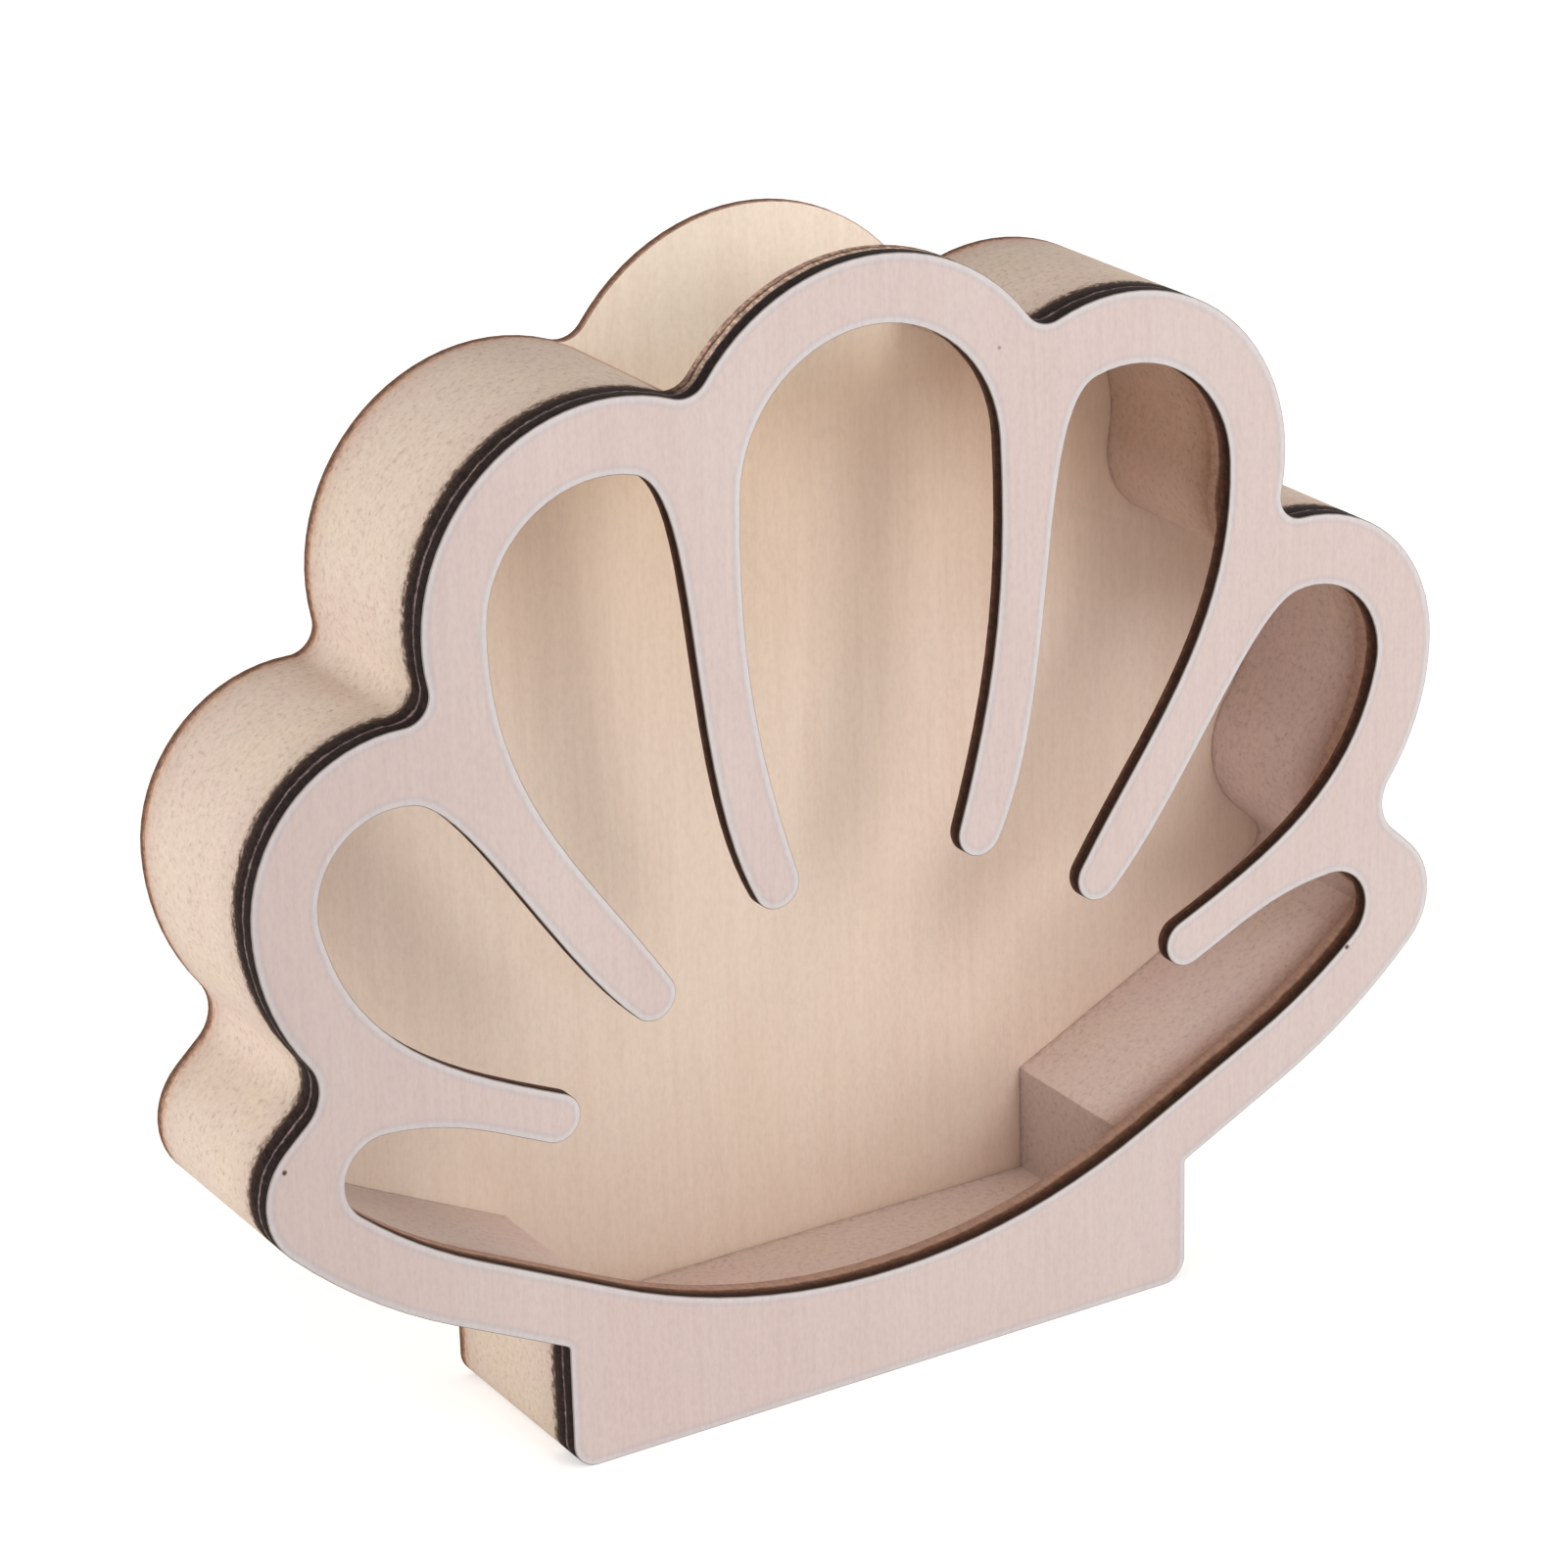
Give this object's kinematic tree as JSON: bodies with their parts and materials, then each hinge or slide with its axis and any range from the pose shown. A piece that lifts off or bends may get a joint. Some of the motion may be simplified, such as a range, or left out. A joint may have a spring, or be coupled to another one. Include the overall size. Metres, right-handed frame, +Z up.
{
  "type": "seashell display case",
  "caption": "Scallop-shaped shadow box on a flat foot, laminated from laser-cut wood layers, with a finger cut-out front, clear pane and open top for shells.",
  "frame": {"origin": "middle of the case, on the surface that the foot stands on", "axes": "+X along the width, +Y to the back, +Z up"},
  "size_m": [0.2, 0.035, 0.1728],
  "materials": {
    "front_wood": "pale pinkish veneer plywood with burnt laser-cut edges",
    "clear_sheet": "clear acrylic sheet",
    "core_board": "raw fibre board, finely speckled",
    "back_wood": "pale thin plywood with burnt laser-cut edge"
  },
  "bodies": {
    "root": {"front_plate": "front_wood", "window_ring": "front_wood", "window_pane": "clear_sheet", "case_core": "core_board", "back_panel": "back_wood"}
  },
  "joints": []
}
